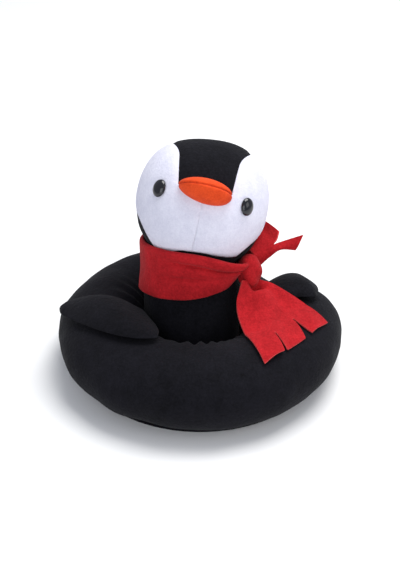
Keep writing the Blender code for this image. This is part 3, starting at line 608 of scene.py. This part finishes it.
for side_name, side in (("right", -1.0), ("left", 1.0)):
    right, up = eye_place
    out = Vector((side * right, up, math.sqrt(head_radius ** 2 - right ** 2 - up ** 2))).normalized()
    across = Vector((0.0, 1.0, 0.0)).cross(out).normalized()
    eye_frame = head_frame @ turn_matrix(across, out.cross(across), out, out * head_radius)
    dome = [Vector((0.0, 0.0, -eye_shank_length)), Vector((eye_shank_radius, 0.0, -eye_shank_length)),
            Vector((eye_shank_radius, 0.0, 0.0)), Vector((eye_radius * eye_rim_share, 0.0, eye_back)),
            Vector((eye_radius, 0.0, eye_rim))]
    for step in range(1, eye_rows + 1):
        angle = math.radians(90.0 - 90.0 * step / eye_rows)
        dome.append(Vector((eye_radius * math.sin(angle), 0.0, eye_rim + eye_height * math.cos(angle))))
    eye_bm = turned(dome, eye_steps)
    bmesh.ops.scale(eye_bm, vec=(eye_narrow, 1.0, 1.0), verts=eye_bm.verts)
    bmesh.ops.transform(eye_bm, matrix=eye_frame, verts=eye_bm.verts)
    eye = piece_from(side_name + "_dome_eye", eye_bm, eye_plastic)
    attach(eye, "head")
    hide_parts(side_name + "_eye")
    washer = frame["nodes"][side_name + "_eye_washer"]
    washer.data.materials.clear()
    washer.data.materials.append(washer_plastic)

# Bill
# A small stuffed bill of brushed orange felt: a flat upper panel and a deeper lower one, sewn together
# along a rim that runs round the front.
bill_half_width = 0.0179
bill_reach = 0.0155
bill_upper_height = 0.0070
bill_lower_height = 0.0090
bill_rise = 0.0105
bill_tilt = math.radians(14.0)
bill_rim_sharpness = 1.08
bill_seam_depth = 0.0011
bill_seam_width = 0.085
bill_pucker = 0.5
bill_puckers = 9.0
bill_steps = 64
bill_rows = 48
bill_skew = 0.42
orange_felt = fleece("orange_felt", (0.54, 0.040, 0.008), (0.90, 0.098, 0.022), nap=1300.0,
                     pile_depth=0.0004, sheen=0.06)

bill_stand = math.sqrt(head_radius ** 2 - bill_rise ** 2)
bill_frame = (head_frame @ Matrix.Translation((0.0, bill_rise, bill_stand))
              @ Matrix.Rotation(-bill_tilt, 4, "X"))
for side_name, side, height in (("upper", 1.0, bill_upper_height), ("lower", -1.0, bill_lower_height)):
    bill_bm = bmesh.new()
    bmesh.ops.create_uvsphere(bill_bm, u_segments=bill_steps, v_segments=bill_rows, radius=1.0)
    bmesh.ops.rotate(bill_bm, verts=bill_bm.verts, cent=(0.0, 0.0, 0.0),
                     matrix=Matrix.Rotation(math.pi / 2.0, 3, "X"))
    bmesh.ops.bisect_plane(bill_bm, geom=bill_bm.verts[:] + bill_bm.edges[:] + bill_bm.faces[:], dist=weld,
                           plane_co=(0.0, 0.0, 0.0), plane_no=(0.0, side, 0.0), clear_inner=True)
    for vert in bill_bm.verts:
        lift = abs(vert.co.y) ** bill_rim_sharpness
        pucker = 1.0 + bill_pucker * noise.noise(Vector((vert.co.x, 0.0, vert.co.z)) * bill_puckers)
        pinch = bill_seam_depth * pucker * math.exp(-(vert.co.y / bill_seam_width) ** 2)
        shrink = 1.0 - pinch / bill_half_width
        hang = bill_skew * height * lift if side < 0.0 else 0.0
        vert.co = bill_frame @ Vector((vert.co.x * bill_half_width * shrink + hang, side * height * lift,
                                       vert.co.z * bill_reach * shrink))
    bmesh.ops.recalc_face_normals(bill_bm, faces=bill_bm.faces)
    bill_middle = bill_frame.translation
    if sum((face.calc_center_median() - bill_middle).dot(face.normal) for face in bill_bm.faces) < 0.0:
        bmesh.ops.reverse_faces(bill_bm, faces=bill_bm.faces)
    bill = piece_from("bill_" + side_name, bill_bm, orange_felt)
    bill_wall = bill.modifiers.new("cloth", "SOLIDIFY")
    bill_wall.thickness = panel_cloth
    bill_wall.offset = -1.0
    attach(bill, "head")
    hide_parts(*(("beak_upper_panel", "beak_stuffing") if side > 0.0 else ("beak_lower_panel",)))

# Flippers
# Two leaf-shaped flippers of black fleece, each an upper and a lower panel sewn round the edge, turned and
# stuffed. They are sewn to the body at the root and lie over the ring.
wing_half_thick = 0.0062
wing_end_half_thick = 0.0022
wing_flatness = 0.45
wing_clearance = 0.0006
wing_bridge = 0.006
wing_seam_ridge = 0.0007
wing_seam_width = 0.10
wing_lump = 0.0006
wing_lump_size = 0.014
wing_steps = 72
wing_rows = 56


class Leaf:
    """The outline of one flipper: root and tip, half-widths there, and how it bends and lies."""

    def __init__(self, root, tip, half_widths, belly, belly_power, blunt, bow, slant, level):
        self.root = Vector(root)
        self.tip = Vector(tip)
        self.root_half_width, self.tip_half_width = half_widths
        self.belly = belly
        self.belly_power = belly_power
        self.blunt = blunt
        self.bow = bow
        self.slant = slant
        self.level = level


right_leaf = Leaf(root=(-0.0290, -0.0310, 0.0), tip=(-0.0960, -0.0060, 0.0), half_widths=(0.016, 0.005),
                  belly=0.008, belly_power=0.7, blunt=0.45, bow=0.008, slant=0.75, level=0.0445)
left_leaf = Leaf(root=(0.0345, 0.0040, 0.0), tip=(0.0815, 0.0190, 0.0), half_widths=(0.010, 0.016),
                 belly=0.006, belly_power=1.6, blunt=0.75, bow=0.0, slant=0.0, level=0.0430)


def between(first, second, share):
    return first + (second - first) * share


def wing_rest(x, y, level):
    """Height of a flipper's edge seam over a point: it lies on the ring and bridges the low places."""
    ring = ring_top(x, y)
    return (ring + level + math.hypot(ring - level, wing_bridge)) / 2.0 + wing_clearance


def flipper_place(unit, leaf):
    """Stretch a point of a ball into a leaf that lies over the ring, with a ridge along its edge seam."""
    share = min(1.0, max(0.0, (unit.x + 1.0) / 2.0))
    swell = max(0.0, math.sin(math.pi * share ** leaf.belly_power))
    rim = math.hypot(unit.y, unit.z)
    close = min(1.0, rim / leaf.blunt)
    across = unit.y / rim if rim > weld else 0.0
    over = unit.z / rim if rim > weld else 0.0
    half_width = between(leaf.root_half_width, leaf.tip_half_width, share) + leaf.belly * swell
    under_thick = between(wing_end_half_thick, wing_half_thick * wing_flatness, swell)
    half_thick = between(wing_end_half_thick, wing_half_thick, swell) if over > 0.0 else under_thick
    ridge = wing_seam_ridge * math.exp(-(over / wing_seam_width) ** 2)
    sideways = close * (half_width + ridge) * across
    span = leaf.tip - leaf.root
    onward = span.length * share - leaf.slant * sideways * (1.0 - share)
    way = span.normalized()
    front = Vector((way.y, -way.x, 0.0)) if way.x > 0.0 else Vector((-way.y, way.x, 0.0))
    place = leaf.root + way * onward + front * (sideways + leaf.bow * swell)
    puff = lumps(place, wing_lump_size, wing_lump) * max(0.0, over)
    place.z = wing_rest(place.x, place.y, leaf.level) + under_thick + close * (half_thick * over + puff)
    return place


for side_name, leaf in (("right", right_leaf), ("left", left_leaf)):
    wing_bm = bmesh.new()
    bmesh.ops.create_uvsphere(wing_bm, u_segments=wing_steps, v_segments=wing_rows, radius=1.0)
    bmesh.ops.rotate(wing_bm, verts=wing_bm.verts, cent=(0.0, 0.0, 0.0),
                     matrix=Matrix.Rotation(math.pi / 2.0, 3, "Y"))
    for vert in wing_bm.verts:
        vert.co = flipper_place(vert.co, leaf)
    bmesh.ops.recalc_face_normals(wing_bm, faces=wing_bm.faces)
    wing = finer(piece_from(side_name + "_flipper", wing_bm, black_fleece), 1)
    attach(wing, side_name + "_wing")
    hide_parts(side_name + "_wing_upper_panel", side_name + "_wing_lower_panel",
                side_name + "_wing_stuffing")

# Scarf round the neck
# One strip of red fleece folded lengthwise and wound once round the neck. Its upper edge is rolled over,
# a crease runs to the knot, and the cut hem shows as a paler line.
scarf_cloth = 0.0016
scarf_start = 0.025
outer_ply = 0.62
inner_ply_share = 0.75
scarf_bottom = 0.058
scarf_top = 0.092
scarf_inner = 0.0345
scarf_flare = 0.0048
scarf_flare_start = 0.35
scarf_back_rise = 0.008
scarf_gather = 0.6
scarf_gather_angle = -15.0
scarf_gather_spread = 52.0
scarf_gather_height = 0.073
scarf_tuck = 0.004
scarf_tuck_angle = -55.0
scarf_tuck_spread = 28.0
scarf_stand = 0.0015
scarf_bulge = 0.0014
scarf_roll_over = 0.0008
scarf_roll_width = 0.12
scarf_front_edge = 0.35
scarf_crease = 0.0032
scarf_crease_width = 0.05
scarf_crease_height = 0.80
scarf_crease_fall = 0.10
scarf_crease_reach = 0.8
scarf_crease_start = -0.75
scarf_crease_full = -0.1
short_crease_share = 0.5
short_crease_height = 0.46
short_crease_angle = -100.0
short_crease_spread = 28.0
scarf_lump = 0.0007
scarf_lump_size = 0.014
scarf_columns = 160
scarf_rows = 50
scarf_pinch = 0.0060
scarf_pinch_angle = -18.0
scarf_pinch_spread = 18.0
red_fleece = fleece("red_fleece", (0.26, 0.006, 0.009), (0.60, 0.018, 0.025), nap=800.0, pile_depth=0.0008,
                    sheen=0.08, edge=(0.74, 0.085, 0.085))
head_in_body = body_inverse @ head_centre


def scarf_middle(share):
    return Vector((head_in_body.x, head_in_body.y, 0.0)) * share


def scarf_radius(share):
    return scarf_inner + scarf_flare * smoothstep(scarf_flare_start, 1.0, share)


def sheet_grid(columns, rows, place, gone=None):
    """A cloth grid laid out by a function of across and along, with its cut edges marked."""
    bm = bmesh.new()
    bmesh.ops.create_grid(bm, x_segments=columns, y_segments=rows, size=0.5)
    if gone:
        spare = [face for face in bm.faces if gone(face.calc_center_median() + Vector((0.5, 0.5, 0.0)))]
        bmesh.ops.delete(bm, geom=spare, context="FACES")
    cut_edge = bm.verts.layers.float.new("cut_edge")
    places = {vert: place(vert.co.x + 0.5, vert.co.y + 0.5) for vert in bm.verts}
    for vert, point in places.items():
        vert.co = point
    border = [vert for vert in bm.verts if vert.is_boundary]
    for vert in border:
        vert[cut_edge] = 1.0
    return bm


def wrap_place(around_share, along_share):
    """Outer ply from the hem up to the rolled edge, then the inner ply back down."""
    around = 2.0 * math.pi * (around_share + scarf_start)
    x = math.cos(around)
    y = math.sin(around)
    out = along_share < outer_ply
    turned_in = (along_share - outer_ply) / (1.0 - outer_ply)
    share = along_share / outer_ply if out else 1.0 - inner_ply_share * turned_in
    roll = (smoothstep(outer_ply - scarf_roll_width, outer_ply, along_share)
            * smoothstep(outer_ply + scarf_roll_width, outer_ply, along_share))
    pinch = scarf_pinch * near_angle(x, y, scarf_pinch_angle, scarf_pinch_spread)
    radius = scarf_radius(share) + scarf_roll_over * roll - pinch
    if out:
        front = smoothstep(scarf_front_edge, -scarf_front_edge, y)
        fall = smoothstep(-scarf_crease_reach, scarf_crease_reach, x)
        crease_at = scarf_crease_height - scarf_crease_fall * fall
        crease = math.exp(-((share - crease_at) / scarf_crease_width) ** 2)
        crease *= smoothstep(scarf_crease_start, scarf_crease_full, x)
        short = short_crease_share * math.exp(-((share - short_crease_height) / scarf_crease_width) ** 2)
        short *= near_angle(x, y, short_crease_angle, short_crease_spread)
        bulge = scarf_stand + scarf_bulge * math.sin(math.pi * share)
        radius += bulge - scarf_crease * front * (crease + short)
    height = scarf_bottom + (scarf_top - scarf_bottom) * share + scarf_roll_over * roll
    point = Vector((radius * x, radius * y, height)) + scarf_middle(share)
    ripple = lumps(point, scarf_lump_size, scarf_lump)
    gather = scarf_gather * near_angle(x, y, scarf_gather_angle, scarf_gather_spread)
    tuck = scarf_tuck * near_angle(x, y, scarf_tuck_angle, scarf_tuck_spread) * share
    behind = max(0.0, y) ** 2
    lift = scarf_back_rise * behind * (1.0 - share) + (scarf_gather_height - height) * gather - tuck
    return body_frame @ (point + Vector((ripple * x, ripple * y, lift)))


wrap_bm = sheet_grid(scarf_columns, scarf_rows, wrap_place)
bmesh.ops.remove_doubles(wrap_bm, verts=wrap_bm.verts, dist=weld)
bmesh.ops.recalc_face_normals(wrap_bm, faces=wrap_bm.faces)
scarf_wrap = piece_from("scarf_turn", wrap_bm, red_fleece)


def give_thickness(piece, thickness):
    wall = piece.modifiers.new("cloth", "SOLIDIFY")
    wall.thickness = thickness
    wall.offset = 0.0
    finer(piece, 1)


give_thickness(scarf_wrap, scarf_cloth)
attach(scarf_wrap, "body")
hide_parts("scarf_wrap")

# Scarf knot
# The strip's two ends are tied once at the penguin's left. The knot is a tight lump of the same fleece
# with pleats that run into both tails.
knot_centre = Vector((0.0336, -0.0022, 0.0745))
knot_half = (0.0082, 0.0098, 0.0126)
knot_pleats = 4
knot_pleat_depth = 0.07
knot_twist = 3.5
knot_steps = 64
knot_rows = 40

knot_bm = bmesh.new()
bmesh.ops.create_uvsphere(knot_bm, u_segments=knot_steps, v_segments=knot_rows, radius=1.0)
for vert in knot_bm.verts:
    around = math.atan2(vert.co.y, vert.co.x)
    fade = 1.0 - vert.co.z ** 2
    pleat = 1.0 + knot_pleat_depth * math.cos(knot_pleats * around + knot_twist * vert.co.z) * fade
    vert.co = Vector((vert.co.x * knot_half[0] * pleat, vert.co.y * knot_half[1] * pleat,
                      vert.co.z * knot_half[2]))
    vert.co += knot_centre
knot_bm.verts.layers.float.new("cut_edge")
scarf_knot = finer(piece_from("scarf_tie", knot_bm, red_fleece), 1)
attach(scarf_knot, "body")
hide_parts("scarf_knot")

# Front scarf tail
# One end of the same red fleece strip comes out of the knot in front and is held only there. It spreads
# over the ring, and it is cut into three fingers.
front_left_edge = (Vector((0.0285, -0.0130, 0.0740)), Vector((0.0243, -0.0250, 0.0620)),
                   Vector((0.0285, -0.0440, 0.0555)), Vector((0.0415, -0.0750, 0.0495)))
front_right_edge = (Vector((0.0395, -0.0045, 0.0690)), Vector((0.0500, -0.0050, 0.0640)),
                    Vector((0.0700, -0.0115, 0.0550)), Vector((0.0860, -0.0240, 0.0460)))
front_bow = Vector((0.0018, -0.0026, 0.0))
front_crown = 0.0045
front_arched = 0.25
front_flat = 0.75
front_trough = 0.0180
front_trough_across = 0.66
front_trough_width = 0.20
front_trough_start = 0.07
front_trough_full = 0.1
front_trough_end = 0.42
front_curl = 0.0020
front_curl_start = 0.8
front_ripple = 0.0020
front_ripples = 1.5
front_loose_start = 0.1
front_loose_full = 0.5
front_loose_side = 0.7
front_columns = 73
front_rows = 72
front_slits = ((21.5 / front_columns, 0.016, 0.84), (47.5 / front_columns, 0.060, 0.78))
front_slit_reach = 0.14
front_slit_end = 1.05
tail_lift = 0.0020


def along_edge(points, share):
    """A smooth line through four points, as a Catmull-Rom curve."""
    place = share * 3.0
    first = min(2, int(place))
    local = place - first
    before = points[max(0, first - 1)]
    after = points[min(3, first + 2)]
    start, end = points[first], points[first + 1]
    return 0.5 * (2.0 * start + (end - before) * local
                  + (2.0 * before - 5.0 * start + 4.0 * end - after) * local ** 2
                  + (3.0 * start - before - 3.0 * end + after) * local ** 3)


def front_tail_place(across, along):
    """From the knot the tail falls forward and lies on the ring, with a hollow pleat beside its far edge.

    The fingers of its end spread apart at the slits, each given as its place across, how far it opens and
    where along the tail it starts.
    """
    for middle, half, start in front_slits:
        away = across - middle
        opened = half * smoothstep(start, front_slit_end, along) * math.exp(-abs(away) / front_slit_reach)
        across += math.copysign(opened, away)
    point = between(along_edge(front_left_edge, along), along_edge(front_right_edge, along), across)
    point += front_bow * math.sin(math.pi * across) * along * along
    lying = ring_top(point.x, point.y) + tail_lift
    arch = smoothstep(0.0, front_arched, along) * smoothstep(front_flat, front_arched, along)
    crown = front_crown * math.sin(math.pi * across) * arch
    near_knot = (smoothstep(front_trough_end, front_trough_full, along)
                 * smoothstep(0.0, front_trough_start, along))
    hollow = front_trough * math.exp(-((across - front_trough_across) / front_trough_width) ** 2) * near_knot
    curl = front_curl * smoothstep(front_curl_start, 1.0, across)
    curl *= smoothstep(front_flat, front_arched, along)
    loose = (smoothstep(front_loose_start, front_loose_full, along)
             * smoothstep(1.0, front_loose_side, across))
    ripple = front_ripple * math.sin(2.0 * math.pi * (across * front_ripples + along)) * loose
    point.z = max(lying + max(0.0, ripple), point.z + crown - hollow + curl + ripple)
    return point


def front_slit(point):
    cut = 0.5 / front_columns
    return any(point.y > start and abs(point.x - middle) < cut for middle, half, start in front_slits)


front_bm = sheet_grid(front_columns, front_rows, front_tail_place, front_slit)
bmesh.ops.recalc_face_normals(front_bm, faces=front_bm.faces)
front_tail = piece_from("scarf_front_end", front_bm, red_fleece)
give_thickness(front_tail, scarf_cloth)
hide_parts("scarf_front_tail")
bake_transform(front_tail)

# Back scarf tail
# The strip's other end, of the same red fleece, comes out behind the knot and is held only there. It stands
# up beside the head, and it is cut into two fingers.
back_lines = (
    (0.0, (Vector((0.0390, 0.0085, 0.0705)), Vector((0.0475, 0.0115, 0.0785)),
           Vector((0.0550, 0.0122, 0.0842)), Vector((0.0653, 0.0125, 0.0833)))),
    (0.5, (Vector((0.0390, 0.0078, 0.0765)), Vector((0.0462, 0.0118, 0.0825)),
           Vector((0.0528, 0.0140, 0.0862)), Vector((0.0705, 0.0130, 0.0939)))),
    (0.54, (Vector((0.0390, 0.0076, 0.0777)), Vector((0.0455, 0.0125, 0.0838)),
            Vector((0.0520, 0.0150, 0.0872)), Vector((0.0544, 0.0200, 0.0922)))),
    (1.0, (Vector((0.0340, 0.0090, 0.0850)), Vector((0.0375, 0.0190, 0.0868)),
           Vector((0.0400, 0.0310, 0.0895)), Vector((0.0425, 0.0365, 0.0945)))),
)
back_fold = 0.0018
back_fold_phase = 0.6
back_fold_full = 0.5
back_slit_start = 0.60
back_columns = 50
back_rows = 50


def back_tail_place(across, along):
    """Drawn between its low edge, both sides of the slit and its high edge, each with its place across."""
    fold = back_fold * math.sin(2.0 * math.pi * across + back_fold_phase)
    fold *= smoothstep(0.0, back_fold_full, along)
    for (low, low_line), (high, high_line) in zip(back_lines, back_lines[1:]):
        if across <= high:
            share = (across - low) / (high - low)
            point = between(along_edge(low_line, along), along_edge(high_line, along), share)
            return point - Vector((0.0, fold, 0.0))


def back_slit(point):
    return point.y > back_slit_start and back_lines[1][0] < point.x < back_lines[2][0]


back_bm = sheet_grid(back_columns, back_rows, back_tail_place, back_slit)
bmesh.ops.recalc_face_normals(back_bm, faces=back_bm.faces)
back_tail = piece_from("scarf_back_end", back_bm, red_fleece)
give_thickness(back_tail, scarf_cloth)
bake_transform(back_tail)
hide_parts("scarf_back_tail")
